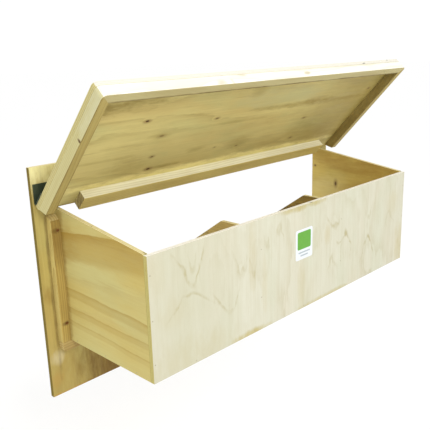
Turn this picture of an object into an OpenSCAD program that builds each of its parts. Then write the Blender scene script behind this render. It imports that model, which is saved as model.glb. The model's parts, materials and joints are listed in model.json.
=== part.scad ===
// Nesting box that hangs outside a hen house wall.
// Frame: origin on the rear face of the wall panel, mid-width, level with the
// underside of the box. +Y points into the hen house, the box's front faces -Y,
// +Z is up. Millimetres.

/* [Sheet and battens] */
// Thickness of the plywood
ply = 12; // [9:1:15]
// Depth of the battens round the box, from the wall panel outwards
batten_depth = 20; // [16:1:30]
// Width of the battens round the box
batten_width = 25; // [18:1:26]

/* [Box] */
// Length of the box along the wall
box_length = 1100; // [900:10:1200]
// Depth of the box, from the wall panel to the front
box_depth = 350; // [300:10:400]
// Height of the box at the front
front_height = 300; // [250:10:350]
// Height of the box at the wall panel
rear_height = 350; // [310:10:400]
// Number of nests side by side
nests = 3; // [3:1:3]

/* [Dividers and lip] */
// Height of the dividers at the front
divider_front_height = 272; // [220:2:285]
// Height of the dividers at the wall panel
divider_rear_height = 126; // [120:2:160]
// Length of the level part of a divider's top
divider_level = 123; // [80:1:160]
// Height of the board that keeps the litter in
lip_height = 100; // [60:5:110]

/* [Wall panel] */
// Length of the wall panel
wall_length = 1213; // [1160:1:1300]
// Height of the wall panel
wall_height = 607; // [560:1:650]
// How far the wall panel hangs below the box
wall_drop = 150; // [100:1:160]
// Height at which the bevel on the side battens starts
side_batten_height = 320; // [280:5:325]
// Rise of that bevel, from the front of the batten to its back
side_batten_bevel = 17; // [5:1:20]

/* [Lid] */
// Length of the lid
lid_length = 1200; // [1160:10:1300]
// Depth of the lid
lid_depth = 408; // [390:1:430]
// Angle of the open lid above the horizontal
lid_pitch = 47.1; // [10:0.1:70]
// Radius of the lid's two front corners
lid_corner = 12; // [4:1:20]
// Width of the rim battens under the lid
rim = 24; // [18:1:24]
// Height of the rim battens
rim_height = 29; // [18:1:34]
// Depth of the batten under the lid's rear edge
stiffener_depth = 45; // [35:1:60]
// Height of the batten under the lid's rear edge
stiffener_height = 25; // [18:1:30]
// Length of the batten under the lid's rear edge
stiffener_length = 1000; // [800:10:1060]

/* [Hinge strip] */
// Thickness of the rubber
strip = 2; // [1.5:0.1:3]
// Length of the strip
strip_length = 1204; // [1100:1:1210]
// Height of the strip on the wall panel above the hinge line
strip_up = 54; // [40:1:70]
// Width of the strip on the lid
strip_out = 52; // [40:1:70]

/* [Label] */
// Width of the label
label_width = 76; // [50:1:100]
// Height of the label
label_height = 86; // [60:1:140]

/* [Hidden] */
eps = 0.01;

// Planes of the box
half_length = box_length / 2;
front_y = -ply - box_depth;          // outer face of the front panel
inner_front_y = front_y + ply;       // inner face of the front panel
top_slope = (rear_height - front_height) / box_depth;
inner_length = box_length - 2 * ply;
nest_width = (inner_length - (nests - 1) * ply) / nests;
divider_x = nest_width / 2 + ply / 2; // the dividers' middle planes

// Hinge line along the lid's top rear edge
shut_gap = 0.5;                      // between the shut lid and the box's top
hinge_gap = 2;                       // between the hinge line and the wall panel
shut_pitch = -atan(top_slope);
hinge_y = -ply - hinge_gap;
hinge_z = front_height + top_slope * (hinge_y - front_y)
    + (ply + shut_gap) / cos(shut_pitch);
rear_gap = 1.5;                      // from the hinge line to the plywood's edge
rim_cut_top = 4;                     // the side rims' rear ends are cut back,
rim_cut_bottom = 19;                 // so that they clear the wall panel
strip_gap = 12;                      // rubber left free to flex at the hinge line

// Fixings
pin_r = 0.8;
pin_head_r = 1.5;
pin_head = 1;
pin_length = 36;
screw_r = 2;
screw_head_r = 4;
screw_cone = 2.6;
screw_length = 29;
screw_inset = 8;                     // from the box's side to the side screws
side_screw_z = [50, 297];
clout_r = 1.3;
clout_head_r = 4.5;
clout_head = 1;
clout_length = 10;
clout_count = 9;
clout_step = 130;

colour_face = "#e2d3a0";
colour_inner = "#cfa765";
colour_edge = "#b98f52";
colour_rim = "#e6dcae";
colour_rubber = "#1d2b22";
colour_zinc = "#b9bcbd";
colour_label = "#f2f2ee";

// A board with its lowest corner at p
module board(p, s) translate(p) cube(s);

// An outline of [y, z] points made into a sheet from x to x + t
module sheet_yz(x, t, points)
    translate([x, 0, 0]) rotate([90, 0, 90]) linear_extrude(t) polygon(points);

// A headed pin whose head's top is at p and whose shank points along +Y
module pin_y(p)
    translate(p) rotate([-90, 0, 0]) {
        cylinder(h = pin_head, r = pin_head_r, $fn = 24);
        cylinder(h = pin_length, r = pin_r, $fn = 24);
    }

// The same pin pointing along +X (side = 1) or -X (side = -1)
module pin_x(p, side)
    translate(p) rotate([0, side * 90, 0]) {
        cylinder(h = pin_head, r = pin_head_r, $fn = 24);
        cylinder(h = pin_length, r = pin_r, $fn = 24);
    }

// The same pin pointing along +Z (side = 1) or -Z (side = -1)
module pin_z(p, side, length = pin_length)
    translate(p) rotate([side > 0 ? 0 : 180, 0, 0]) {
        cylinder(h = pin_head, r = pin_head_r, $fn = 24);
        cylinder(h = length, r = pin_r, $fn = 24);
    }

// A countersunk screw whose head's face is at p, driven along +Y
module screw_y(p)
    translate(p) rotate([-90, 0, 0]) {
        cylinder(h = screw_cone, r1 = screw_head_r, r2 = screw_r, $fn = 32);
        cylinder(h = screw_length, r = screw_r, $fn = 32);
    }

// A clout nail whose head's underside is at the origin, shank along -Z
module clout() {
    cylinder(h = clout_head, r = clout_head_r, $fn = 32);
    translate([0, 0, -clout_length]) cylinder(h = clout_length + eps, r = clout_r, $fn = 24);
}

// Places its children in the open lid's own frame: the hinge line at the
// origin, the lid lying along -Y below the plane z = 0
module on_lid()
    translate([0, hinge_y, hinge_z]) rotate([-lid_pitch, 0, 0]) children();

module front_panel() color(colour_face)
    board([-half_length, front_y, 0], [box_length, ply, front_height]);

module end_panel(x) color(colour_inner)
    sheet_yz(x, ply, [
        [inner_front_y, 0],
        [0, 0],
        [0, rear_height],
        [-ply, rear_height],
        [inner_front_y, front_height + top_slope * ply]
    ]);

module end_panel_left() end_panel(-half_length);

module end_panel_right() end_panel(half_length - ply);

module floor_panel() color(colour_inner)
    board([-inner_length / 2, inner_front_y, 0], [inner_length, -inner_front_y, ply]);

module divider(x) color(colour_inner)
    sheet_yz(x - ply / 2, ply, [
        [inner_front_y, ply],
        [-ply, ply],
        [-ply, divider_rear_height],
        [inner_front_y + divider_level, divider_front_height],
        [inner_front_y, divider_front_height]
    ]);

module divider_left() divider(-divider_x);

module divider_right() divider(divider_x);

module litter_lip() color(colour_inner)
    board([-inner_length / 2, -ply, ply], [inner_length, ply, lip_height]);

module wall_panel() color(colour_face)
    difference() {
        board([-wall_length / 2, -ply, -wall_drop], [wall_length, ply, wall_height]);
        board([-half_length, -ply - 1, 0], [box_length, ply + 2, rear_height]);
    }

module side_batten(x) color(colour_edge)
    sheet_yz(x, batten_width, [
        [-ply - batten_depth, 0],
        [-ply, 0],
        [-ply, side_batten_height + side_batten_bevel],
        [-ply - batten_depth, side_batten_height]
    ]);

module batten_left() side_batten(-half_length - batten_width);

module batten_right() side_batten(half_length);

module batten_bottom() color(colour_edge)
    board([-half_length - batten_width, -ply - batten_depth, -batten_width],
        [box_length + 2 * batten_width, batten_depth, batten_width]);

module batten_screws() color(colour_zinc) {
    face_y = -ply - batten_depth;
    for (side = [-1, 1], z = side_screw_z)
        screw_y([side * (half_length + screw_inset), face_y, z]);
    for (x = [-510, -170, 170, 510])
        screw_y([x, face_y, -batten_width / 2]);
}

module box_pins() color(colour_zinc) {
    mid = ply / 2;
    // through the front into the ends, the floor and the dividers
    for (side = [-1, 1], z = [45, 150, 255])
        pin_y([side * (half_length - mid), front_y, z]);
    for (x = [-420 : 210 : 420])
        pin_y([x, front_y, mid]);
    for (side = [-1, 1], z = [90, 220])
        pin_y([side * divider_x, front_y, z]);
    // through the ends into the floor and the litter lip
    for (side = [-1, 1], y = [-300, -180, -60])
        pin_x([side * half_length, y, mid], -side);
    for (side = [-1, 1], z = [40, 90])
        pin_x([side * half_length, -mid, z], -side);
    // outwards through the ends into the wall panel's edge
    for (side = [-1, 1], z = [172, 284])
        pin_x([side * inner_length / 2, -mid, z], side);
    // up through the floor into the dividers
    for (side = [-1, 1], y = [-290, -110])
        pin_z([side * divider_x, y, 0], 1);
}

module label() color(colour_label)
    board([-label_width / 2, front_y - 0.5, front_height / 2 + 40 - label_height / 2],
        [label_width, 0.5, label_height]);

module hinge_strip_wall() color(colour_rubber)
    board([-strip_length / 2, -ply - strip, hinge_z + strip_gap - 4],
        [strip_length, strip, strip_up - strip_gap + 4]);

module strip_clouts_wall() color(colour_zinc)
    for (i = [0 : clout_count - 1])
        translate([(i - (clout_count - 1) / 2) * clout_step, -ply - strip, hinge_z + 42])
            rotate([90, 0, 0]) clout();

// What is left outside the lid's rounded front corners, at both ends
module corner_waste() {
    height = ply + rim_height + 2;
    for (side = [-1, 1])
        translate([side * (lid_length / 2 - lid_corner), -lid_depth + lid_corner, 1 - height])
            difference() {
                translate([side > 0 ? 0 : -lid_corner - 1, -lid_corner - 1, 0])
                    cube([lid_corner + 1, lid_corner + 1, height]);
                translate([0, 0, -1]) cylinder(h = height + 2, r = lid_corner, $fn = 48);
            }
}

module lid_panel() color(colour_face)
    on_lid() difference() {
        board([-lid_length / 2, -lid_depth, -ply], [lid_length, lid_depth - rear_gap, ply]);
        corner_waste();
    }

// The front rim, mitred at both ends
module lid_rim_front() color(colour_rim)
    on_lid() difference() {
        translate([0, 0, -ply - rim_height]) linear_extrude(rim_height)
            polygon([
                [-lid_length / 2, -lid_depth],
                [lid_length / 2, -lid_depth],
                [lid_length / 2 - rim, -lid_depth + rim],
                [-lid_length / 2 + rim, -lid_depth + rim]
            ]);
        corner_waste();
    }

// A side rim with its outer face at x = 0 and its inner face at x = rim:
// mitred at the front and cut back at the rear
module side_rim()
    difference() {
        sheet_yz(0, rim, [
            [-lid_depth, -ply - rim_height],
            [-rim_cut_bottom, -ply - rim_height],
            [-rim_cut_top, -ply],
            [-lid_depth, -ply]
        ]);
        translate([0, -lid_depth, -ply - rim_height - 1]) linear_extrude(rim_height + 2)
            polygon([[0, 0], [rim + 1, rim + 1], [rim + 1, -1], [0, -1]]);
    }

module lid_rim_left() color(colour_rim)
    on_lid() difference() {
        translate([-lid_length / 2, 0, 0]) side_rim();
        corner_waste();
    }

module lid_rim_right() color(colour_rim)
    on_lid() difference() {
        mirror([1, 0, 0]) translate([-lid_length / 2, 0, 0]) side_rim();
        corner_waste();
    }

module lid_stiffener() color(colour_rim)
    on_lid() board([-stiffener_length / 2, -rear_gap - stiffener_depth, -ply - stiffener_height],
        [stiffener_length, stiffener_depth, stiffener_height]);

module lid_pins() color(colour_zinc)
    on_lid() {
        short = ply + 18;
        for (x = [-560 : 160 : 560])
            pin_z([x, -lid_depth + rim / 2, 0], -1, short);
        for (side = [-1, 1], y = [-300, -200, -100])
            pin_z([side * (lid_length - rim) / 2, y, 0], -1, short);
        for (x = [-440 : 220 : 440])
            pin_z([x, -rear_gap - stiffener_depth / 2, 0], -1, short);
    }

module hinge_strip_lid() color(colour_rubber)
    on_lid() board([-strip_length / 2, -strip_out, 0],
        [strip_length, strip_out - strip_gap, strip]);

module strip_clouts_lid() color(colour_zinc)
    on_lid() for (i = [0 : clout_count - 1])
        translate([(i - (clout_count - 1) / 2) * clout_step, -42, strip]) clout();

front_panel();
end_panel_left();
end_panel_right();
floor_panel();
divider_left();
divider_right();
litter_lip();
wall_panel();
batten_left();
batten_right();
batten_bottom();
batten_screws();
box_pins();
label();
hinge_strip_wall();
strip_clouts_wall();
lid_panel();
lid_rim_front();
lid_rim_left();
lid_rim_right();
lid_stiffener();
lid_pins();
hinge_strip_lid();
strip_clouts_lid();
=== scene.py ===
"""A plywood nesting box on its wall panel, with the battened lid standing open."""
import json
from math import cos, pi, radians, sin

import bmesh
import bpy
from mathutils import Matrix, Vector
from mathutils.geometry import interpolate_bezier


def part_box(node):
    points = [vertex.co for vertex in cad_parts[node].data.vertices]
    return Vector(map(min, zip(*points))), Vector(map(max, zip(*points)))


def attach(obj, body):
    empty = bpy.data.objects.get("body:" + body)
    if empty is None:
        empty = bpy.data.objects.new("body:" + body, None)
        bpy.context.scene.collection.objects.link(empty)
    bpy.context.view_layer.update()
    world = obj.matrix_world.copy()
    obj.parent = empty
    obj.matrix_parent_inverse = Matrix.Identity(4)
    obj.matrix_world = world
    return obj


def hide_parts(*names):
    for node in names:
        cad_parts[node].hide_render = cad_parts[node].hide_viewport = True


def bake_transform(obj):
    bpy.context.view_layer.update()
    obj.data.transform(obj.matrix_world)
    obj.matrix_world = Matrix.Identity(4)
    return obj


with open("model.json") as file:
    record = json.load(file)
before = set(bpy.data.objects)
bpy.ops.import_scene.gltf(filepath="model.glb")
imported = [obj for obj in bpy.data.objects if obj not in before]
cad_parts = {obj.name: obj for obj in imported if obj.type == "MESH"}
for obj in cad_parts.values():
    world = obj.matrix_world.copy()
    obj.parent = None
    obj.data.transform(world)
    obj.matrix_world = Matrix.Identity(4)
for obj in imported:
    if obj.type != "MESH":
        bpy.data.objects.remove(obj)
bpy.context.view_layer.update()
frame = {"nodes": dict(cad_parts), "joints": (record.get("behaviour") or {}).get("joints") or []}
NODES = frame["nodes"]
HINGE = Vector(frame["joints"][0]["pos_m"])

MM = 0.001
PLY = 12 * MM
LID_PITCH = radians(47.1)
X, Y, Z = Vector((1, 0, 0)), Vector((0, 1, 0)), Vector((0, 0, 1))
LID_OUT = Vector((0, -cos(LID_PITCH), sin(LID_PITCH)))     # from the hinge to the lid's front
LID_DOWN = Vector((0, -sin(LID_PITCH), -cos(LID_PITCH)))   # out of the lid's underside
SAME_PLACE = 0.001 * MM       # vertices closer than this are one
PLY_ROUNDING = 0.5 * MM       # radius of a sheet's sawn edges
WOOD_ROUNDING = 1.3 * MM      # radius of a batten's edges
STRIP = 2 * MM                # thickness of the rubber strip
LID_STRIP = (12 * MM, 52 * MM)   # where the rubber lies on the lid, out from the hinge
CLOUT_PITCH = 130 * MM        # between two clouts in the rubber
FLOOR_LEVEL = -0.75           # height of the studio's floor
SKY = 1.03                    # strength of the even light
KEY = 38                      # watts of the broad light above the front
WHITE = (1.0, 1.0, 1.0)


def facing(place, ahead, front="Z"):
    """The matrix that stands an object at place with its front axis along ahead."""
    return Matrix.Translation(place) @ Vector(ahead).to_track_quat(front, "Y").to_matrix().to_4x4()


# ---------------------------------------------------------------- camera, light

def camera():
    """The photograph's viewing angle: from the front left, a little above."""
    data = bpy.data.cameras.new("camera")
    data.lens = 51.8
    eye = Vector((-1.3152, -1.3295, 0.7213))
    aim = Vector((-0.1532, -0.1728, 0.2720))
    roll = radians(-1.784)
    obj = bpy.data.objects.new("camera", data)
    obj.matrix_world = facing(eye, aim - eye, "-Z") @ Matrix.Rotation(roll, 4, "Z")
    bpy.context.scene.collection.objects.link(obj)
    bpy.context.scene.camera = obj


def area_light(name, place, aim, size, power):
    """A white oblong light at place, turned to aim. size is its width and height."""
    data = bpy.data.lights.new(name, "AREA")
    data.shape = "RECTANGLE"
    data.size = size[0]
    data.size_y = size[1]
    data.energy = power
    data.color = WHITE
    obj = bpy.data.objects.new(name, data)
    obj.matrix_world = facing(place, Vector(aim) - Vector(place), "-Z")
    bpy.context.scene.collection.objects.link(obj)


def studio():
    """A white room, a broad light high above the front and a plain pale floor."""
    scene = bpy.context.scene
    scene.view_settings.view_transform = "Standard"
    world = bpy.data.worlds.new("sky")
    world.use_nodes = True
    background = world.node_tree.nodes["Background"]
    background.inputs["Color"].default_value = WHITE + (1.0,)
    background.inputs["Strength"].default_value = SKY
    scene.world = world
    area_light("front_light", place=(-1.1, -2.8, 2.0), aim=(0.0, -0.2, 0.3), size=(1.4, 1.0), power=KEY)

    mesh = bpy.data.meshes.new("floor")
    half = 40.0
    corners = [(x * half, y * half, FLOOR_LEVEL) for x, y in ((-1, -1), (1, -1), (1, 1), (-1, 1))]
    mesh.from_pydata(corners, [], [(0, 1, 2, 3)])
    floor = bpy.data.objects.new("floor", mesh)
    scene.collection.objects.link(floor)
    mesh.materials.append(Shader("floor").finish((0.97, 0.97, 0.97, 1.0), 0.9, specular=0.0))


# ---------------------------------------------------------------- shader builder

class Shader:
    """Builds one material's nodes."""

    def __init__(self, name):
        self.material = bpy.data.materials.new(name)
        self.material.use_nodes = True
        self.tree = self.material.node_tree
        self.tree.nodes.clear()

    def node(self, kind, inputs, **settings):
        made = self.tree.nodes.new("ShaderNode" + kind)
        for key, value in settings.items():
            setattr(made, key, value)
        for key, value in inputs.items():
            if isinstance(value, bpy.types.NodeSocket):
                self.tree.links.new(value, made.inputs[key])
            else:
                made.inputs[key].default_value = value
        return made

    def attribute(self, name):
        return self.node("Attribute", {}, attribute_name=name).outputs["Vector"]

    def math(self, operation, a, b=0.0, c=0.0):
        return self.node("Math", {0: a, 1: b, 2: c}, operation=operation).outputs[0]

    def add(self, *values):
        total = values[0]
        for value in values[1:]:
            total = self.math("ADD", total, value)
        return total

    def times(self, a, b):
        return self.math("MULTIPLY", a, b)

    def scaled(self, vector, scale):
        return self.node("VectorMath", {0: vector, 1: scale}, operation="MULTIPLY").outputs[0]

    def moved(self, vector, offset):
        return self.node("VectorMath", {0: vector, 1: offset}, operation="ADD").outputs[0]

    def length(self, vector):
        return self.node("VectorMath", {0: vector}, operation="LENGTH").outputs["Value"]

    def parts(self, vector):
        return self.node("SeparateXYZ", {0: vector}).outputs

    def noise(self, vector, scale, detail=3.0, roughness=0.5):
        """Noise from 0 to 1 with its own scale along each axis."""
        made = self.node("TexNoise", {"Vector": self.scaled(vector, scale), "Scale": 1.0,
                                      "Detail": detail, "Roughness": roughness})
        return made.outputs["Fac"]

    def fade(self, value, low, high, start=0.0, end=1.0):
        """start below low, end above high, and a smooth change between them."""
        made = self.node("MapRange", {"Value": value, "From Min": low, "From Max": high,
                                      "To Min": start, "To Max": end}, interpolation_type="SMOOTHSTEP")
        return made.outputs["Result"]

    def mix(self, factor, a, b, blend="MIX"):
        made = self.node("Mix", {}, data_type="RGBA", blend_type=blend)
        for key, value in ((0, factor), (6, a), (7, b)):
            if isinstance(value, bpy.types.NodeSocket):
                self.tree.links.new(value, made.inputs[key])
            else:
                made.inputs[key].default_value = value
        return made.outputs[2]

    def patched(self, colour, here, patches, plane=(0, 1)):
        """The colour with soft patches laid over it. Each is (centre, reach, tone, amount),
        and its centre and reach are along the two grain axes of the plane. The outline is
        ragged, and less so where the patch is broad."""
        broad = self.times(self.add(self.noise(here, (9.0, 26.0, 26.0), 2.0, 0.5), -0.5), 2.2)
        ragged = self.times(self.add(self.noise(here, (26.0, 90.0, 90.0), 4.0, 0.7), -0.5), 2.2)
        place = self.parts(here)
        for centre, reach, tone, amount in patches:
            square = [self.math("POWER", self.times(self.add(place[axis], -middle), 1 / size), 2.0)
                      for axis, middle, size in zip(plane, centre, reach)]
            rough = min(1.0, 60 * MM / min(reach))
            level = self.add(square[0], square[1], self.times(broad, rough), self.times(ragged, rough))
            colour = self.mix(self.fade(level, -0.4, 1.5, amount, 0.0), colour, tone)
        return colour

    def flamed(self, colour, here, flames, tone):
        """The colour with the veneer's flames laid over it as V-shaped lines. Each is
        (centre, rise, half width, amount): from its centre the line climbs by rise to each
        side, or falls where rise is negative."""
        sway = self.noise(here, (14.0, 22.0, 1.0), 2.0, 0.5)
        shiver = self.noise(here, (40.0, 95.0, 1.0), 3.0, 0.6)
        warp = self.add(self.times(self.add(sway, -0.5), 60 * MM),
                        self.times(self.add(shiver, -0.5), 9 * MM))
        worn = self.fade(self.noise(here, (30.0, 60.0, 1.0), 3.0, 0.6), 0.36, 0.62, 0.25, 1.0)
        along, across = self.parts(here)[:2]
        along, across = self.add(along, self.times(warp, -0.6)), self.add(across, warp)
        turn = 9 * MM         # radius of a flame's tip
        for centre, rise, half, amount in flames:
            aside = self.add(across, -centre[1])
            bend = self.math("SQRT", self.math("MULTIPLY_ADD", aside, aside, turn ** 2))
            depth = self.add(along, turn * rise / half - centre[0], self.times(bend, -rise / half))
            if rise < 0:
                depth = self.times(depth, -1.0)
            width = 8 * MM * (1 + abs(rise) / half) / 2
            line = self.times(self.fade(depth, -1.2 * width, 0.0),
                              self.fade(depth, 0.0, 0.7 * width, 1.0, 0.0))
            line = self.times(line, self.fade(bend, 0.5 * half, 1.1 * half, amount, 0.0))
            colour = self.mix(self.times(line, worn), colour, tone)
        return colour

    def finish(self, colour, roughness, height=None, bump=0.0, metallic=0.0, specular=0.5):
        """Ends in a Principled shader. height is its relief and bump the relief's depth."""
        inputs = {"Base Color": colour, "Roughness": roughness, "Metallic": metallic,
                  "Specular IOR Level": specular}
        if height is not None:
            relief = self.node("Bump", {"Height": height, "Distance": bump, "Strength": 1.0})
            inputs["Normal"] = relief.outputs["Normal"]
        surface = self.node("BsdfPrincipled", inputs)
        self.node("OutputMaterial", {"Surface": surface.outputs["BSDF"]})
        return self.material


def rgb(red, green, blue):
    """An sRGB colour from 0 to 255 as linear light."""
    def linear(value):
        value = value / 255
        return value / 12.92 if value <= 0.04045 else ((value + 0.055) / 1.055) ** 2.4
    return (linear(red), linear(green), linear(blue), 1.0)


# ---------------------------------------------------------------- wood

FLARE = (90 * MM, 50 * MM)    # how far a knot's flare reaches along and across the grain
LAYERS = 5                    # in a sheet of plywood


def knot_field(s, place, knots):
    """For knots at (centre, reach, darkness, flare): how far each pushes the growth rings,
    how dark its heart is and how brown the wood round it is. The rings run round a knot,
    and with a flare they also sweep in to it from above and below as V shapes."""
    push, heart, halo = 0.0, 0.0, 0.0
    for centre, reach, darkness, flare in knots:
        offset = s.moved(place, (-centre[0], -centre[1], 0.0))
        distance = s.length(s.scaled(offset, (1 / reach[0], 1 / reach[1], 0.0)))
        push = s.add(push, s.times(s.math("EXPONENT", s.times(distance, -0.6)), 1.5))
        if flare:
            square = s.node("VectorMath", {0: offset, 1: offset}, operation="MULTIPLY").outputs[0]
            square = s.parts(s.scaled(square, (FLARE[0] ** -2, FLARE[1] ** -2, 0.0)))
            saddle = s.math("SUBTRACT", square[0], square[1])
            level = s.math("EXPONENT", s.times(s.add(square[0], square[1]), -0.55))
            push = s.add(push, s.times(s.times(saddle, level), flare))
        if darkness:
            heart = s.add(heart, s.fade(distance, 0.55, 1.0, darkness, 0.0))
            halo = s.add(halo, s.fade(distance, 0.8, 2.6, 0.6 * darkness, 0.0))
    return push, heart, halo


def stained(s, colour, here, heart, halo):
    """The colour with the knots' brown halos and dark hearts laid over it."""
    colour = s.mix(s.math("MINIMUM", halo, 0.5), colour, rgb(128, 92, 44))
    grit = s.noise(here, (420.0, 420.0, 420.0), 3.0, 0.6)
    core = s.mix(grit, rgb(52, 32, 14), rgb(98, 64, 30))
    return s.mix(s.math("MINIMUM", heart, 1.0), colour, core)


def growth(s, phase):
    """Earlywood to latewood over one ring: a slow darkening and a quick return."""
    turn = s.math("FRACT", phase)
    return s.times(s.math("POWER", turn, 2.6), s.fade(turn, 0.93, 1.0, 1.0, 0.0))


def veneer(name, tones, rings, strength, knots=(), bands=(), patches=(), flames=(), seed=0.0):
    """Rotary-cut plywood face: growth rings wander over it as contour lines. tones are
    its pale, dark, rosy and greenish colours. rings are the rings per metre across the
    sheet, how many rings they wander, and how often they do so along and across. bands
    are broad rings at (height, slope, width, crest, body), dark at the crest and brown
    below it."""
    s = Shader(name)
    here = s.attribute("grain")
    place = s.moved(here, (seed, seed * 0.7, 0.0))
    along, across = s.parts(here)[:2]
    rate, wander, slow, quick = rings
    push, heart, halo = knot_field(s, here, knots)
    lazy = s.noise(place, (slow, quick, 1.0), 2.0, 0.45)
    ripple = s.noise(place, (slow * 4.5, quick * 5.0, 1.0), 3.0, 0.55)
    jag = s.noise(place, (7.0, 150.0, 1.0), 3.0, 0.6)
    phase = s.add(s.times(across, rate), s.times(lazy, wander), s.times(ripple, wander * 0.14),
                  s.times(jag, 0.7), push)
    late = growth(s, phase)
    spread = s.fade(s.noise(place, (2.1, 5.3, 1.0), 2.0), 0.34, 0.68, 0.25, 1.0)
    fibre = s.noise(place, (9.0, 620.0, 620.0), 3.0, 0.6)
    streak = s.noise(place, (1.8, 75.0, 60.0), 2.0, 0.5)
    fine = s.noise(place, (5.0, 230.0, 60.0), 2.0, 0.5)
    mottle = s.noise(place, (11.0, 38.0, 1.0), 4.0, 0.65)
    flecks = s.fade(s.noise(place, (30.0, 170.0, 1.0), 3.0, 0.6), 0.58, 0.76)
    pores = s.fade(s.noise(place, (55.0, 1300.0, 900.0), 2.0, 0.6), 0.66, 0.80)
    figure = s.add(s.times(s.times(late, spread), strength), 0.10)
    figure = s.add(figure, s.times(s.add(streak, -0.5), strength * 0.6))
    figure = s.add(figure, s.times(s.add(fibre, -0.5), strength * 0.5), s.times(pores, 0.10))
    figure = s.add(figure, s.times(s.add(fine, -0.5), strength * 0.6))
    figure = s.add(figure, s.times(s.add(mottle, -0.5), strength * 0.8), s.times(flecks, strength * 0.3))
    if bands:
        wave = s.times(s.add(s.noise(place, (7.0, 12.0, 1.0), 2.0, 0.4), -0.5), 14 * MM)
        tooth = s.times(s.noise(place, (45.0, 260.0, 1.0), 3.0, 0.6), 5 * MM)
    for height, slope, width, crest, body in bands:
        depth = s.add(s.times(across, -1.0), s.times(along, slope), wave, tooth, height)
        tone = s.add(s.fade(depth, 0.0, 0.4 * width, crest, 0.0),
                     s.fade(depth, 0.75 * width, width, body, 0.0))
        figure = s.add(figure, s.times(s.fade(depth, 0.0, 2 * MM), tone))
    pale, dark, rosy, green = tones
    blush = s.noise(place, (2.6, 7.0, 1.0), 4.0, 0.55)
    colour = s.mix(s.fade(blush, 0.42, 0.66, 0.0, 0.6), pale, rosy)
    moss = s.noise(s.moved(place, (11.0, 5.0, 0.0)), (3.6, 9.0, 1.0), 4.0, 0.55)
    colour = s.mix(s.fade(moss, 0.46, 0.68, 0.0, 0.6), colour, green)
    colour = s.mix(s.math("MAXIMUM", figure, 0.0), colour, dark)
    if patches:
        colour = s.patched(colour, here, patches)
    if flames:
        colour = s.flamed(colour, here, flames, dark)
    if knots:
        colour = stained(s, colour, here, heart, halo)
    height = s.add(s.times(fibre, 0.5), s.times(late, 0.35), s.times(pores, -0.8))
    rough = s.fade(late, 0.0, 1.0, 0.68, 0.54)
    return s.finish(colour, rough, height, 0.00022, specular=0.35)


def pine(name, tones, rate, heart_line, strength, end=False, patches=(), plane=(0, 1), seed=0.0):
    """Sawn pine: rings round a heart line that runs beside the batten, so that they
    are straight lines along it and arcs on its ends."""
    s = Shader(name)
    here = s.attribute("grain")
    place = s.moved(here, (seed, seed * 0.31, seed * 0.17))
    sway = s.noise(place, (3.0, 6.0, 6.0), 2.0, 0.5)
    offset = s.scaled(s.moved(here, (0.0,) + heart_line), (0.05, 1.0, 1.0))
    phase = s.add(s.times(s.length(offset), rate), s.times(sway, 3.2))
    late = growth(s, phase)
    fibre = s.noise(place, (200.0, 900.0, 900.0) if end else (10.0, 760.0, 760.0), 3.0, 0.6)
    streak = s.noise(place, (2.5, 130.0, 130.0), 2.0, 0.5)
    clouds = s.noise(place, (4.0, 22.0, 22.0), 3.0, 0.5)
    figure = s.add(s.times(late, strength), s.times(s.add(streak, -0.5), strength * 0.7))
    figure = s.add(figure, s.times(s.add(fibre, -0.5), strength * 0.6), 0.28 if end else 0.0)
    pale, dark = tones
    colour = s.mix(s.math("MAXIMUM", figure, 0.0), pale, dark)
    colour = s.mix(s.fade(clouds, 0.42, 0.72, 0.0, 0.4), colour, dark)
    if patches:
        colour = s.patched(colour, here, patches, plane)
    height = s.add(s.times(fibre, 0.6), s.times(late, 0.4))
    return s.finish(colour, 0.8 if end else 0.66, height, 0.00025, specular=0.3)


def ply_edge(name, long_grain, end_grain, glue):
    """Sawn plywood edge: layers of alternate grain, glue lines and a few small voids."""
    s = Shader(name)
    here = s.attribute("grain")
    depth = s.times(s.parts(here)[2], LAYERS / PLY)
    wave = s.times(s.add(s.noise(here, (14.0, 14.0, 1.0), 2.0), -0.5), 0.16)
    above_zero = 100.0        # whole layers, added so that no level is negative
    level = s.add(depth, wave, above_zero)
    turn = s.math("FRACT", level)
    odd = s.math("GREATER_THAN", s.math("FRACT", s.times(level, 0.5)), 0.5)
    fibre = s.noise(here, (160.0, 160.0, 900.0), 3.0, 0.6)
    grain = s.noise(here, (900.0, 900.0, 260.0), 2.0, 0.6)
    light = s.mix(fibre, long_grain, end_grain)
    rough_end = s.mix(grain, end_grain, glue)
    colour = s.mix(s.times(odd, 0.5), light, rough_end)
    line = s.add(s.fade(turn, 0.0, 0.10, 1.0, 0.0), s.fade(turn, 0.90, 1.0))
    void = s.times(s.fade(s.noise(here, (26.0, 26.0, 40.0), 2.0), 0.71, 0.75), odd)
    colour = s.mix(s.times(line, 0.45), colour, glue)
    colour = s.mix(void, colour, rgb(46, 32, 18))
    height = s.add(s.times(line, -0.6), s.times(void, -2.5), s.times(grain, 0.5))
    return s.finish(colour, 0.8, height, 0.0003, specular=0.25)


# ---------------------------------------------------------------- other materials

def rubber():
    """Black rubber gone greenish, with a fine weave and dust on it."""
    s = Shader("rubber")
    here = s.attribute("grain")
    dust = s.noise(here, (40.0, 22.0, 22.0), 4.0, 0.6)
    weave = s.noise(here, (1500.0, 1500.0, 1500.0), 2.0, 0.5)
    colour = s.mix(s.fade(dust, 0.45, 0.75, 0.0, 0.5), rgb(44, 56, 38), rgb(84, 92, 66))
    height = s.add(s.times(weave, 0.5), dust)
    return s.finish(colour, 0.62, height, 0.00025, specular=0.4)


def metal(name, dark, bright, rough):
    """Plated or bare steel, blotched by the weather."""
    s = Shader(name)
    here = s.attribute("grain")
    spangle = s.noise(here, (420.0, 420.0, 420.0), 3.0, 0.6)
    colour = s.mix(s.fade(spangle, 0.3, 0.7), dark, bright)
    worn = s.fade(spangle, 0.3, 0.7, rough[0], rough[1])
    return s.finish(colour, worn, spangle, 0.00008, metallic=1.0)


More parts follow.
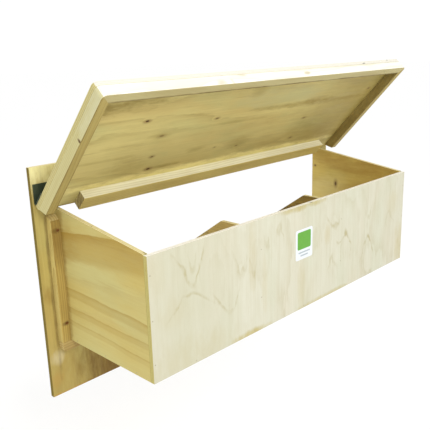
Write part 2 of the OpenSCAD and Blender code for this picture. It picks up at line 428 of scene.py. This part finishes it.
def film():
    """The label: matt white film printed with a plain green field over two pale rules."""
    s = Shader("label_film")
    here = s.attribute("grain")

    def block(level, half, corner):
        """1 inside a rounded rectangle that is level over the label's middle, else 0."""
        offset = s.moved(here, (0.0, -level, 0.0))
        offset = s.node("VectorMath", {0: offset}, operation="ABSOLUTE").outputs[0]
        beyond = s.moved(offset, (corner - half[0], corner - half[1], -1.0))
        beyond = s.node("VectorMath", {0: beyond, 1: (0.0, 0.0, 0.0)}, operation="MAXIMUM").outputs[0]
        return s.fade(s.length(beyond), corner - 0.2 * MM, corner + 0.2 * MM, 1.0, 0.0)

    tooth = s.noise(here, (900.0, 900.0, 900.0), 2.0, 0.5)
    mottle = s.noise(here, (60.0, 60.0, 60.0), 3.0, 0.6)
    paper = s.mix(tooth, rgb(216, 220, 224), rgb(226, 229, 232))
    green = s.mix(mottle, rgb(84, 152, 34), rgb(98, 166, 46))
    colour = s.mix(block(11 * MM, (30 * MM, 25 * MM), 5 * MM), paper, green)
    for level, half in ((-23 * MM, 26 * MM), (-32 * MM, 17 * MM)):
        rule = block(level, (half, 2 * MM), 1.8 * MM)
        colour = s.mix(rule, colour, rgb(168, 178, 182))
    return s.finish(colour, 0.42, tooth, 0.00003, specular=0.5)


def front_face():
    """The outer face of the front: cream, with flames round its whorls and olive stains."""
    whorls = [((0.184, -0.412), (0.014, 0.008), 0.0, 0.8), ((0.190, -0.262), (0.011, 0.006), 0.0, 0.8),
              ((0.215, 0.144), (0.011, 0.006), 0.0, 0.8), ((0.170, 0.325), (0.013, 0.007), 0.0, 0.8)]
    flames = [((0.197, -0.420), 0.110, 0.064, 0.55), ((0.235, -0.420), 0.075, 0.026, 0.35),
              ((0.178, -0.425), -0.062, 0.085, 0.40), ((0.094, -0.306), 0.078, 0.050, 0.42),
              ((0.175, -0.262), 0.110, 0.030, 0.40), ((0.160, -0.219), 0.150, 0.016, 0.55),
              ((0.222, -0.156), 0.090, 0.018, 0.40), ((0.262, -0.107), -0.110, 0.020, 0.36),
              ((0.205, 0.146), 0.050, 0.040, 0.45), ((0.147, 0.176), 0.028, 0.036, 0.55),
              ((0.169, 0.209), -0.130, 0.036, 0.70), ((0.112, 0.140), -0.085, 0.024, 0.36),
              ((0.131, 0.331), -0.100, 0.048, 0.65), ((0.195, 0.330), 0.060, 0.034, 0.34),
              ((0.180, 0.460), -0.060, 0.040, 0.28)]
    tan, olive = rgb(184, 168, 118), rgb(178, 162, 92)
    stains = [((0.297, -0.040), (0.011, 0.085), olive, 0.70), ((0.297, 0.055), (0.010, 0.045), olive, 0.60),
              ((0.002, -0.225), (0.013, 0.080), olive, 0.80), ((0.002, 0.110), (0.010, 0.120), olive, 0.60),
              ((0.215, -0.215), (0.100, 0.016), tan, 0.28), ((0.150, -0.480), (0.040, 0.045), tan, 0.30),
              ((0.115, -0.169), (0.080, 0.013), tan, 0.22), ((0.070, -0.010), (0.070, 0.018), olive, 0.22),
              ((0.187, 0.112), (0.032, 0.016), tan, 0.32), ((0.210, 0.480), (0.045, 0.036), olive, 0.18),
              ((0.040, 0.540), (0.100, 0.040), olive, 0.32), ((0.250, -0.530), (0.060, 0.030), tan, 0.22),
              ((0.130, -0.440), (0.320, 0.180), rgb(192, 188, 162), 0.60),
              ((0.020, -0.430), (0.060, 0.160), rgb(188, 181, 146), 0.50)]
    tones = (rgb(207, 205, 186), rgb(162, 150, 98), rgb(205, 198, 176), rgb(201, 202, 180))
    return veneer("veneer_front", tones, (4.0, 3.4, 3.6, 9.0), 0.38, whorls, patches=stains,
                  flames=flames)


def wall_face():
    """The wall panel: painted light above the rubber, lifting the open lid's shadow, streaked painted shade
    under the box and painted shadow lines beside the battens.
    """
    brown, rust, shade = rgb(158, 132, 66), rgb(176, 136, 60), rgb(112, 84, 22)
    # painted light: the pale band above the rubber lifts the shadow that the open lid casts on the wall
    stains = [((0.480, 0.0), (0.080, 4.0), rgb(244, 238, 176), 1.0),
              ((0.130, -0.590), (0.026, 0.012), brown, 0.80), ((0.215, -0.602), (0.050, 0.006), brown, 0.25),
              ((-0.110, -0.568), (0.120, 0.080), rgb(157, 133, 64), 0.8),
              ((-0.045, -0.584), (0.022, 0.020), rgb(192, 178, 134), 0.9),
              ((-0.104, -0.592), (0.020, 0.024), rust, 0.35), ((-0.150, 0.0), (0.005, 6.0), rust, 0.7)]
    # painted shade: the wall under the box is darkened, and streaked, where the box shades it
    under_box = ((-0.42, 0.105), (-0.25, 0.180), (0.0, 0.300), (0.25, 0.180), (0.42, 0.105))
    stains += [((-0.120, middle), (0.230, half), shade, 1.0) for middle, half in under_box]
    # painted shadow: a dark line on the wall along the outer side of each side batten
    shadow_beside_battens = (-0.5775, 0.5775)
    stains += [((0.160, across), (0.260, 0.006), rgb(92, 72, 30), 0.6) for across in shadow_beside_battens]
    tones = (rgb(188, 170, 96), rgb(126, 100, 42), rgb(180, 152, 83), rgb(182, 171, 104))
    return veneer("veneer_wall", tones, (42.0, 3.0, 1.2, 5.0), 0.45, patches=stains, seed=3.1)


def end_faces():
    """The outer faces of the ends: a brown head over pale wood with three brown rings."""
    rings = [(0.2890, -0.092, 0.082, 0.32, 0.33), (0.1480, 0.032, 0.028, 0.24, 0.24),
             (0.0955, 0.013, 0.020, 0.20, 0.18), (0.0590, 0.029, 0.018, 0.24, 0.14)]
    tones = (rgb(200, 187, 118), rgb(150, 114, 16), rgb(197, 175, 96), rgb(194, 187, 124))
    left = veneer("veneer_end_left", tones, (9.0, 1.6, 0.9, 4.5), 0.22, bands=rings, seed=7.7,
                  patches=[((-0.200, 0.275), (0.300, 0.050), rgb(186, 158, 72), 0.35),
                           ((-0.045, 0.262), (0.065, 0.050), rgb(160, 126, 52), 0.40),
                           ((-0.030, 0.150), (0.014, 0.350), rgb(140, 108, 42), 0.50)])
    knots = [((-0.103, 0.228), (0.0050, 0.0095), 0.8, 0.0), ((-0.013, 0.285), (0.0036, 0.0030), 0.8, 0.0)]
    tones = (rgb(213, 190, 100), rgb(146, 112, 30), rgb(194, 164, 80), rgb(200, 184, 104))
    right = veneer("veneer_end_right", tones, (14.0, 2.6, 0.9, 4.5), 0.46, knots, seed=9.2,
                   patches=[((-0.190, 0.315), (0.260, 0.050), rgb(164, 126, 46), 0.60),
                            ((-0.320, 0.250), (0.160, 0.080), rgb(172, 138, 58), 0.30),
                            ((-0.070, 0.170), (0.100, 0.100), rgb(224, 207, 140), 0.6)])
    return left, right


def lid_face():
    """The lid's underside: mottled, with painted shade towards one end and along the rims, painted light
    beside the stiffener, and small knots.
    """
    specks = [((-0.403, 0.277), (0.0072, 0.0040), 1.0, 0.0), ((-0.303, 0.082), (0.0080, 0.0044), 1.0, 0.0),
              ((-0.316, 0.133), (0.0060, 0.0036), 0.7, 0.0), ((-0.154, 0.250), (0.0070, 0.0036), 0.6, 0.0),
              ((-0.325, 0.213), (0.0090, 0.0040), 0.5, 0.0), ((0.278, 0.190), (0.0090, 0.0040), 0.5, 0.0),
              ((0.292, 0.095), (0.0070, 0.0038), 0.5, 0.0), ((0.020, 0.110), (0.0050, 0.0028), 0.5, 0.0),
              ((0.540, 0.293), (0.0070, 0.0036), 0.6, 0.0), ((-0.080, 0.122), (0.0040, 0.0024), 0.4, 0.0)]
    brown, dark, grey = rgb(144, 122, 46), rgb(104, 84, 32), rgb(190, 183, 130)
    # painted shade: the first patch on this line darkens the lid towards its right end
    stains = [((0.560, 0.250), (0.330, 0.260), brown, 0.75), ((0.080, 0.305), (0.200, 0.045), grey, 0.60),
              # painted shade in the front left corner of the lid, by the rims
              ((-0.540, 0.350), (0.160, 0.045), rgb(138, 118, 52), 0.85),
              ((0.250, 0.262), (0.300, 0.012), brown, 0.60), ((-0.050, 0.350), (0.035, 0.035), brown, 0.35),
              ((0.290, 0.268), (0.070, 0.020), brown, 0.55), ((0.020, 0.125), (0.050, 0.030), brown, 0.35),
              ((0.400, 0.110), (0.200, 0.060), brown, 0.20), ((-0.250, 0.082), (0.060, 0.008), brown, 0.55),
              ((-0.390, 0.110), (0.080, 0.040), brown, 0.30), ((-0.160, 0.130), (0.040, 0.014), brown, 0.35),
              ((-0.480, 0.150), (0.120, 0.006), brown, 0.35), ((-0.330, 0.213), (0.040, 0.012), brown, 0.35),
              # the last patch on this line is painted shade along the corner against the front rim
              ((-0.050, 0.225), (0.160, 0.008), brown, 0.35), ((0.0, 0.384), (2.400, 0.012), dark, 0.70),
              # painted light: a pale band beside the stiffener, lifting the shade on the lid there
              ((-0.100, 0.054), (0.600, 0.018), rgb(250, 236, 160), 0.90)]
    tones = (rgb(215, 200, 130), rgb(136, 112, 42), rgb(208, 184, 114), rgb(197, 192, 127))
    return veneer("veneer_lid", tones, (12.0, 4.0, 2.0, 9.0), 0.38, specks, patches=stains, seed=5.2)


def materials():
    """Every finish, by the name the pieces ask for."""
    end_left, end_right = end_faces()
    rim_heart = (0.022, 0.030)
    batten_heart = (0.018, 0.011)
    screw_heights = (0.050, 0.297)
    # painted shade: dark rings round the screws, for the shade in their countersunk pockets
    pocket_shade = [((height, 0.0), (0.007, 0.011), rgb(78, 52, 20), 0.9) for height in screw_heights]
    # painted shade at the top of a side batten's front, where the open lid shades it
    shade_under_lid = ((0.285, 0.0), (0.080, 0.030), rgb(132, 104, 44), 0.6)
    upright = (0, 2)          # for stains on a batten's side that stands across the sheet
    # painted shade: a dark line on the rims' shaded faces along their long edges, for the corners where they
    # meet the lid
    corner_shade = rgb(112, 94, 42)
    smudge = rgb(186, 168, 116)
    notch = [((0.272, 0.038), (0.004, 0.011), rgb(84, 52, 8), 1.0)]
    return {
        "front": front_face(),
        "wall": wall_face(),
        "end_left": end_left,
        "end_right": end_right,
        "inner": veneer("veneer_inner", (rgb(224, 204, 130), rgb(122, 94, 40), rgb(198, 166, 92),
                                         rgb(204, 186, 116)), (15.0, 4.0, 1.5, 6.0), 0.8, seed=12.3),
        "inner_dark": veneer("veneer_inner_dark", (rgb(158, 132, 60), rgb(64, 46, 12), rgb(124, 96, 38),
                                                   rgb(136, 116, 52)), (15.0, 4.0, 1.5, 6.0), 0.8, seed=15.8),
        "lid": lid_face(),
        "back": veneer("veneer_back", (rgb(214, 199, 136), rgb(150, 124, 60), rgb(206, 180, 114),
                                       rgb(196, 186, 126)), (14.0, 3.0, 1.4, 6.0), 0.5, seed=20.4),
        "edge": ply_edge("ply_edge", rgb(208, 199, 128), rgb(182, 168, 96), rgb(126, 106, 50)),
        "edge_pale": ply_edge("ply_edge_pale", rgb(253, 251, 242), rgb(244, 240, 226), rgb(236, 229, 206)),
        "edge_side": ply_edge("ply_edge_side", rgb(214, 205, 148), rgb(190, 177, 116), rgb(146, 128, 72)),
        "edge_lid": ply_edge("ply_edge_lid", rgb(238, 235, 224), rgb(226, 221, 206), rgb(206, 198, 172)),
        "edge_warm": ply_edge("ply_edge_warm", rgb(240, 228, 178), rgb(226, 212, 154), rgb(192, 172, 112)),
        "edge_dark": ply_edge("ply_edge_dark", rgb(148, 130, 50), rgb(106, 88, 20), rgb(60, 46, 8)),
        "batten": pine("pine_batten", (rgb(210, 192, 118), rgb(160, 130, 64)), 210.0, batten_heart, 0.6,
                       patches=pocket_shade),
        "batten_shade": pine("pine_batten_shade", (rgb(184, 158, 84), rgb(118, 92, 38)), 210.0,
                             batten_heart, 0.7, patches=pocket_shade + [shade_under_lid]),
        "batten_end": pine("pine_batten_end", (rgb(214, 198, 136), rgb(160, 130, 70)), 210.0,
                           batten_heart, 0.7, end=True),
        # painted shade: the bottom batten, under the box, takes a darker copy of the batten pine
        "batten_low_shade": pine("pine_batten_low_shade", (rgb(176, 152, 90), rgb(126, 98, 46)), 210.0, batten_heart,
                           0.6, seed=2.6),
        "rim_left": pine("pine_rim_left", (rgb(200, 192, 136), rgb(168, 150, 92)), 230.0, rim_heart, 0.6,
                         patches=[((0.370, 0.026), (0.090, 0.030), rgb(205, 201, 161), 0.8)] + notch,
                         plane=upright, seed=4.4),
        "rim_right": pine("pine_rim_right", (rgb(204, 196, 142), rgb(168, 150, 92)), 230.0, rim_heart, 0.6,
                          seed=6.1),
        "rim_shade": pine("pine_rim_shade", (rgb(172, 154, 90), rgb(132, 108, 52)), 230.0, rim_heart, 0.4,
                          patches=[((0.200, inner), (1.000, 0.003), corner_shade, 0.7) for inner in (0.0, 0.024)],
                          seed=4.4),
        "rim_end": pine("pine_rim_end", (rgb(192, 176, 120), rgb(126, 98, 46)), 230.0, rim_heart, 0.9,
                        end=True, seed=4.4),
        # painted light: the front rim's front face takes this near-white copy of the rims' pine; its other
        # faces take the darker shaded copy below
        "rim_front": pine("pine_rim_front", (rgb(246, 244, 234), rgb(214, 206, 176)), 230.0, rim_heart,
                          0.5, seed=1.7, plane=upright,
                          patches=[((-0.259, 0.034), (0.020, 0.010), smudge, 0.5),
                                   ((-0.224, 0.036), (0.007, 0.012), smudge, 0.5),
                                   ((0.075, 0.027), (0.014, 0.006), smudge, 0.6),
                                   ((-0.175, 0.013), (0.016, 0.006), smudge, 0.5),
                                   ((0.300, 0.012), (0.500, 0.008), rgb(214, 210, 176), 0.5)]),
        # painted shade: the darker copy of the front rim's pine, for its underside and inner side
        "rim_front_shade": pine("pine_rim_front_shade", (rgb(190, 180, 130), rgb(152, 132, 78)), 230.0, rim_heart, 0.5,
                          patches=[((0.0, 0.385), (2.000, 0.004), corner_shade, 0.9)], seed=1.7),
        # painted light and shade: the stiffener's front face takes the first, pale copy of its pine, and its
        # underside and back the darker second copy
        "stiffener": pine("pine_stiffener", (rgb(229, 224, 192), rgb(190, 176, 126)), 230.0, rim_heart,
                          0.7, seed=8.3),
        "stiffener_shade": pine("pine_stiffener_shade", (rgb(224, 206, 126), rgb(180, 154, 82)), 230.0,
                                rim_heart, 0.5, seed=8.3),
        "stiffener_end": pine("pine_stiffener_end", (rgb(240, 226, 168), rgb(98, 78, 32)), 150.0, rim_heart,
                              1.5, end=True, seed=8.3),
        "rubber": rubber(),
        "zinc": metal("zinc", rgb(150, 152, 154), rgb(196, 198, 200), (0.32, 0.55)),
        "steel": metal("dull_steel", rgb(120, 80, 44), rgb(164, 120, 72), (0.6, 0.8)),
        "pin_steel": metal("pin_steel", rgb(150, 140, 116), rgb(190, 182, 160), (0.4, 0.6)),
        "film": film(),
    }


# ---------------------------------------------------------------- shapes

def from_node(node):
    """A bmesh with the CAD node's shape, its flat faces whole again."""
    bm = bmesh.new()
    bm.from_mesh(NODES[node].data)
    bmesh.ops.remove_doubles(bm, verts=bm.verts, dist=SAME_PLACE)
    bmesh.ops.dissolve_limit(bm, angle_limit=radians(0.5), verts=bm.verts, edges=bm.edges)
    return bm


def round_edges(bm, radius, segments=2, choose=lambda edge: True):
    """Rounds the chosen edges that are sharper than a curve's facets."""
    edges = [e for e in bm.edges if e.calc_face_angle(0.0) > radians(20) and choose(e)]
    bmesh.ops.bevel(bm, geom=edges, offset=radius, segments=segments, profile=0.5,
                    affect="EDGES", clamp_overlap=True)


def axes(along, across, through, origin=(0, 0, 0)):
    """The matrix that turns row coordinates into (along, across, through)."""
    turn = Matrix((Vector(along), Vector(across), Vector(through))).to_4x4()
    return turn @ Matrix.Translation(-Vector(origin))


def make(name, bm, body, finish, grain, replaces=(), pick=None):
    """Turns a bmesh into a piece. finish lists its materials, pick(normal in grain
    axes) says which one a face takes, and grain is the matrix from axes()."""
    mesh = bpy.data.meshes.new(name)
    for face in bm.faces:
        if pick:
            face.material_index = pick(grain.to_3x3() @ face.normal)
    bm.to_mesh(mesh)
    bm.free()
    for material in finish:
        mesh.materials.append(material)
    places = mesh.attributes.new("grain", "FLOAT_VECTOR", "POINT")
    for vertex in mesh.vertices:
        places.data[vertex.index].vector = grain @ vertex.co
    obj = bpy.data.objects.new(name, mesh)
    bpy.context.scene.collection.objects.link(obj)
    if body:
        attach(obj, body)
    if replaces:
        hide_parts(*replaces)
    return obj


def side_or_end(*shaded):
    """A chooser of 0 for a batten's sides and mitres, 1 for its ends and 2 for the sides
    that face along one of the shaded directions, which are in grain axes."""
    def pick(normal):
        if abs(normal.x) > 0.74:
            return 1
        return 2 if any(normal.dot(Vector(way)) > 0.7 for way in shaded) else 0
    return pick


def on_both(name):
    """The left and right nodes of a pair, each with its own part of the name."""
    return [(side, name + "_" + side) for side in ("left", "right")]


def sheet_of_ply(node, body, face, grain, lit, edge="edge", lit_edge="edge_warm", shown=0):
    """A plywood sheet. lit is the direction, in grain axes, of its edge that takes painted light: a paler
    copy of the edge's look.
    shown is the side, 1 or -1 through the sheet, that takes the face's look alone, or 0 for both."""
    def pick(normal):
        if abs(normal.z) > 0.8:
            return 3 if normal.z * shown < 0 else 0
        return 2 if normal.dot(lit) > 0.7 else 1

    bm = from_node(node)
    round_edges(bm, PLY_ROUNDING)
    looks = [LOOKS[look] for look in (face, edge, lit_edge, "back")]
    return make(node + "_ply", bm, body, looks, grain, [node], pick)


def boards():
    """The plywood sheets of the box, the wall and the lid."""
    upright = axes(Z, X, Y)
    sheet_of_ply("front_panel", "box", "front", upright, X,
                 edge="edge", lit_edge="edge_pale", shown=-1)
    sheet_of_ply("wall_panel", "box", "wall", upright, X,
                 edge="edge_dark", lit_edge="edge_warm", shown=-1)
    for side, node in on_both("end_panel"):
        sheet_of_ply(node, "box", "end_" + side, axes(Y, Z, X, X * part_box(node)[0].x), Y)
    for side, node in on_both("divider"):
        face = "inner_dark" if side == "right" else "inner"
        sheet_of_ply(node, "box", face, axes(Y, Z, X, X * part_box(node)[0].x), Y)
    sheet_of_ply("floor_panel", "box", "inner", axes(X, Y, Z), Y)
    sheet_of_ply("litter_lip", "box", "inner", axes(X, Z, Y), Y)
    sheet_of_ply("lid_panel", "lid", "lid", LID_GRAIN, Y,
                 edge="edge_side", lit_edge="edge_lid", shown=1)


def batten(node, body, looks, shaded, grain, blunt=None, pockets=()):
    """A sawn batten. looks are for its sides, ends and shaded sides. blunt is a larger
    radius and a test for the edges that it is for. pockets are the places and directions
    of countersunk screws. Mitres stay sharp, so that they meet."""
    def mitred(face):
        normal = grain.to_3x3() @ face.normal
        return abs(normal.z) < 0.5 and abs(abs(normal.x) - abs(normal.y)) < 0.05

    bm = from_node(node)
    if blunt:
        round_edges(bm, blunt[0], 4, blunt[1])
    round_edges(bm, WOOD_ROUNDING, 3, lambda e: not any(mitred(face) for face in e.link_faces))
    if pockets:
        cutter = bmesh.new()
        for place, out in pockets:
            turned(cutter, POCKET, place, out)
        bm = carved(bm, cutter)
    return make(node + "_wood", bm, body, [LOOKS[look] for look in looks], grain,
                [node], side_or_end(*shaded))


def battens(screws):
    """The battens round the box and under the lid."""
    def inside(node):
        """The screws in the node's batten."""
        low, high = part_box(node)
        return [(place, out) for place, out in screws
                if low.x < place.x < high.x and low.z < place.z < high.z]

    def lengthwise(edge, axis):
        return abs((edge.verts[0].co - edge.verts[1].co).normalized().dot(axis)) > 0.99

    wood = ("batten", "batten_end", "batten_shade")
    outward, inward, under = (0, 0, -1), (0, -1, 0), (0, 0, 1)
    for _, node in on_both("batten"):
        low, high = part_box(node)
        middle = (low.z + high.z) / 2
        batten(node, "box", wood, [outward], axes(Z, X, Y, ((low.x + high.x) / 2, high.y, 0)),
               blunt=(4 * MM, lambda e: lengthwise(e, X) and min(v.co.z for v in e.verts) > middle),
               pockets=inside(node))
    low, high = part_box("batten_bottom")
    lower_half = (low.z + high.z) / 2
    batten("batten_bottom", "box", ("batten_low_shade", "batten_end"), [], axes(X, Z, Y, (0, high.y, low.z)),
           blunt=(8 * MM, lambda e: lengthwise(e, Y) and e.verts[0].co.z < lower_half),
           pockets=inside("batten_bottom"))
    for side, node in on_both("lid_rim"):
        inner = (0, 1 if side == "left" else -1, 0)
        batten(node, "lid", ("rim_" + side, "rim_end", "rim_shade"), [under, inner],
               axes(LID_OUT, X, LID_DOWN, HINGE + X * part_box(node)[0].x))
    batten("lid_rim_front", "lid", ("rim_front", "rim_end", "rim_front_shade"), [under, inward], LID_GRAIN)
    batten("lid_stiffener", "lid", ("stiffener", "stiffener_end", "stiffener_shade"), [under, inward],
           LID_GRAIN)


# ---------------------------------------------------------------- rubber and label

def rubber_strip():
    """One strip nailed to the wall and to the lid's top, with a slack fold between."""
    low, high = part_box("hinge_strip_wall")
    middle = (low.y + high.y) / 2
    steps = 8                 # along each flat part
    bends = 15                # points in the fold
    stations = 80             # across the strip
    swell = 0.35 * MM         # of the ripple between two clouts

    def on_wall(height):
        return Vector((0, middle, height))

    def on_lid(out):
        return HINGE + LID_OUT * out - LID_DOWN * STRIP / 2

    path = [on_wall(high.z + (low.z - high.z) * step / steps) for step in range(steps)]
    start, end = on_wall(low.z), on_lid(LID_STRIP[0])
    path += interpolate_bezier(start, start - Z * 4 * MM, end - LID_OUT * 6 * MM, end, bends)
    path += [on_lid(LID_STRIP[0] + (LID_STRIP[1] - LID_STRIP[0]) * step / steps)
             for step in range(1, steps + 1)]
    bm = bmesh.new()
    rows = []
    for station in range(stations + 1):
        across = low.x + (high.x - low.x) * station / stations
        ripple = swell * sin(pi * across / CLOUT_PITCH) ** 2
        row = []
        for index, point in enumerate(path):
            ahead = path[min(index + 1, len(path) - 1)] - path[max(index - 1, 0)]
            out = X.cross(ahead).normalized()
            free = max(0.0, 1 - min(index, len(path) - 1 - index) / 3)
            core = point + X * across + out * ripple * free
            row.append([bm.verts.new(core + out * STRIP / 2 * face) for face in (1, -1)])
        rows.append(row)
    last = len(path) - 1
    for first, second in zip(rows, rows[1:]):
        for index in range(last):
            for side in (0, 1):
                bm.faces.new((first[index][side], second[index][side],
                              second[index + 1][side], first[index + 1][side]))
        for index in (0, last):
            bm.faces.new((first[index][0], first[index][1], second[index][1], second[index][0]))
    for row in (rows[0], rows[-1]):
        for index in range(last):
            bm.faces.new((row[index][0], row[index][1], row[index + 1][1], row[index + 1][0]))
    bmesh.ops.recalc_face_normals(bm, faces=bm.faces)
    piece = make("hinge_strip", bm, None, [LOOKS["rubber"]], axes(X, Z, Y),
                 ["hinge_strip_wall", "hinge_strip_lid"])
    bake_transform(piece)


def label():
    """A thin film with round corners, stuck to the front panel."""
    low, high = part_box("label")
    centre = (low + high) / 2
    corner, segments = 6 * MM, 8
    half = (high - low) / 2 - Vector((corner, 0, corner))
    outline = []
    for turn, (right, up) in enumerate(((1, 1), (-1, 1), (-1, -1), (1, -1))):
        middle = Vector((right * half.x, 0, up * half.z))
        for step in range(segments + 1):
            angle = radians(90) * (turn + step / segments)
            outline.append(centre + middle + Vector((cos(angle), 0, sin(angle))) * corner)
    bm = bmesh.new()
    film_depth = 0.3 * MM
    bottom = [bm.verts.new((point.x, high.y, point.z)) for point in outline]
    face = bm.faces.new(bottom)
    raised = bmesh.ops.extrude_face_region(bm, geom=[face])["geom"]
    for vertex in (item for item in raised if isinstance(item, bmesh.types.BMVert)):
        vertex.co.y -= film_depth
    bmesh.ops.recalc_face_normals(bm, faces=bm.faces)
    round_edges(bm, 0.08 * MM, 1, lambda e: all(v.co.y < high.y - film_depth / 2 for v in e.verts))
    make("label_film", bm, "box", [LOOKS["film"]], axes(X, Z, Y, centre), ["label"])


# ---------------------------------------------------------------- fasteners

# Turned shapes as (radius, height over the wood) in millimetres, from the lower end up.
PIN = [(0, -0.9), (1.4, -0.9), (1.5, -0.2), (1.5, 0.05), (1.25, 0.17), (0.7, 0.22), (0, 0.22)]
CLOUT = [(0, -7), (1.3, -7), (1.3, -1), (4.2, -1), (4.5, -0.8), (4.4, -0.5), (3.6, -0.2), (2, -0.05),
         (0, 0)]
SCREW = [(0, -9), (2, -9), (2, -2.9), (3.95, -0.7), (3.95, -0.4), (3.6, -0.28), (0, -0.22)]
POCKET = [(0, -3.3), (2.3, -3.3), (4.4, 0), (4.4, 1), (0, 1)]
CROSS = [(4.6, 1.1, 2.6), (1.1, 4.6, 2.6)]   # the two bars of a screw's recess


def turned(bm, profile, place, out, sides=20):
    """Adds a turned shape with its axis along out and its zero height at place."""
    stand = facing(place, out)
    rings = []
    for radius, height in profile:
        angles = [2 * pi * step / sides for step in range(sides if radius else 1)]
        points = [Vector((radius * cos(angle), radius * sin(angle), height)) * MM for angle in angles]
        rings.append([bm.verts.new(stand @ point) for point in points])
    for lower, upper in zip(rings, rings[1:]):
        for step in range(sides):
            ahead = (step + 1) % sides
            corners = [lower[step % len(lower)], lower[ahead % len(lower)],
                       upper[ahead % len(upper)], upper[step % len(upper)]]
            bm.faces.new(list(dict.fromkeys(corners)))


def carved(bm, cutter):
    """The shape with the cutter taken out of it."""
    solids = []
    for source in (bm, cutter):
        mesh = bpy.data.meshes.new("carve")
        bmesh.ops.recalc_face_normals(source, faces=source.faces)
        source.to_mesh(mesh)
        source.free()
        solids.append(bpy.data.objects.new("carve", mesh))
        bpy.context.scene.collection.objects.link(solids[-1])
    modifier = solids[0].modifiers.new("carve", "BOOLEAN")
    modifier.object = solids[1]
    modifier.solver = "EXACT"
    result = bmesh.new()
    result.from_object(solids[0], bpy.context.evaluated_depsgraph_get())
    for solid in solids:
        bpy.data.objects.remove(solid)
    return result


def separate_solids(bm):
    """The points of each part of the mesh that hangs together."""
    left = set(bm.verts)
    while left:
        solid, fresh = set(), [left.pop()]
        while fresh:
            vertex = fresh.pop()
            solid.add(vertex)
            near = {edge.other_vert(vertex) for edge in vertex.link_edges} & left
            left -= near
            fresh += near
        yield [vertex.co.copy() for vertex in solid]


def heads(node, directions):
    """Where each of the node's separate fasteners has its head, and which way it faces.
    Each lies along one of the directions, and its wider end is its head."""
    bm = bmesh.new()
    bm.from_mesh(NODES[node].data)
    bmesh.ops.remove_doubles(bm, verts=bm.verts, dist=SAME_PLACE)
    found = []
    for points in separate_solids(bm):
        low = [min(p.dot(d) for p in points) for d in directions]
        high = [max(p.dot(d) for p in points) for d in directions]
        spans = [b - a for a, b in zip(low, high)]
        axis = spans.index(max(spans))
        middle = sum(((a + b) / 2 * d for a, b, d in zip(low, high, directions)), Vector())
        out = directions[axis].copy()
        width = []
        for level in (low[axis], high[axis]):
            flat = [p - middle for p in points if abs(p.dot(out) - level) < 0.1 * MM]
            width.append(max((p - out * p.dot(out)).length for p in flat))
        if width[0] > width[1]:
            out = -out
        found.append((middle + out * spans[axis] / 2, out))
    bm.free()
    return sorted(found, key=lambda head: tuple(round(value, 5) for value in head[0]))


def fasteners(node, body, name, places, profile, sides, look, recess=()):
    """One piece with a turned fastener at each of the places. recess is the bars that are
    cut into each head, one bar at a time."""
    bm = bmesh.new()
    for place, out in places:
        turned(bm, profile, place, out, sides)
    for bar in recess:
        cutter = bmesh.new()
        for place, out in places:
            bmesh.ops.create_cube(cutter, size=MM, matrix=facing(place, out) @ Matrix.Diagonal(bar + (1,)))
        bm = carved(bm, cutter)
    bmesh.ops.recalc_face_normals(bm, faces=bm.faces)
    make(name, bm, body, [LOOKS[look]], axes(X, Y, Z), [node])


camera()
studio()
LOOKS = materials()
SQUARE = (X, Y, Z)
LID_SQUARE = (X, LID_OUT, LID_DOWN)
LID_GRAIN = axes(X, LID_OUT, LID_DOWN, HINGE)
screws = heads("batten_screws", SQUARE)
boards()
battens(screws)
rubber_strip()
label()
fasteners("batten_screws", "box", "screw_heads", screws, SCREW, 24, "steel", CROSS)
for node, body, name, directions, profile, sides, look in (
        ("box_pins", "box", "pin_heads_box", SQUARE, PIN, 14, "pin_steel"),
        ("lid_pins", "lid", "pin_heads_lid", LID_SQUARE, PIN, 14, "pin_steel"),
        ("strip_clouts_wall", "box", "clout_heads_wall", SQUARE, CLOUT, 20, "zinc"),
        ("strip_clouts_lid", "lid", "clout_heads_lid", LID_SQUARE, CLOUT, 20, "zinc")):
    fasteners(node, body, name, heads(node, directions), profile, sides, look)
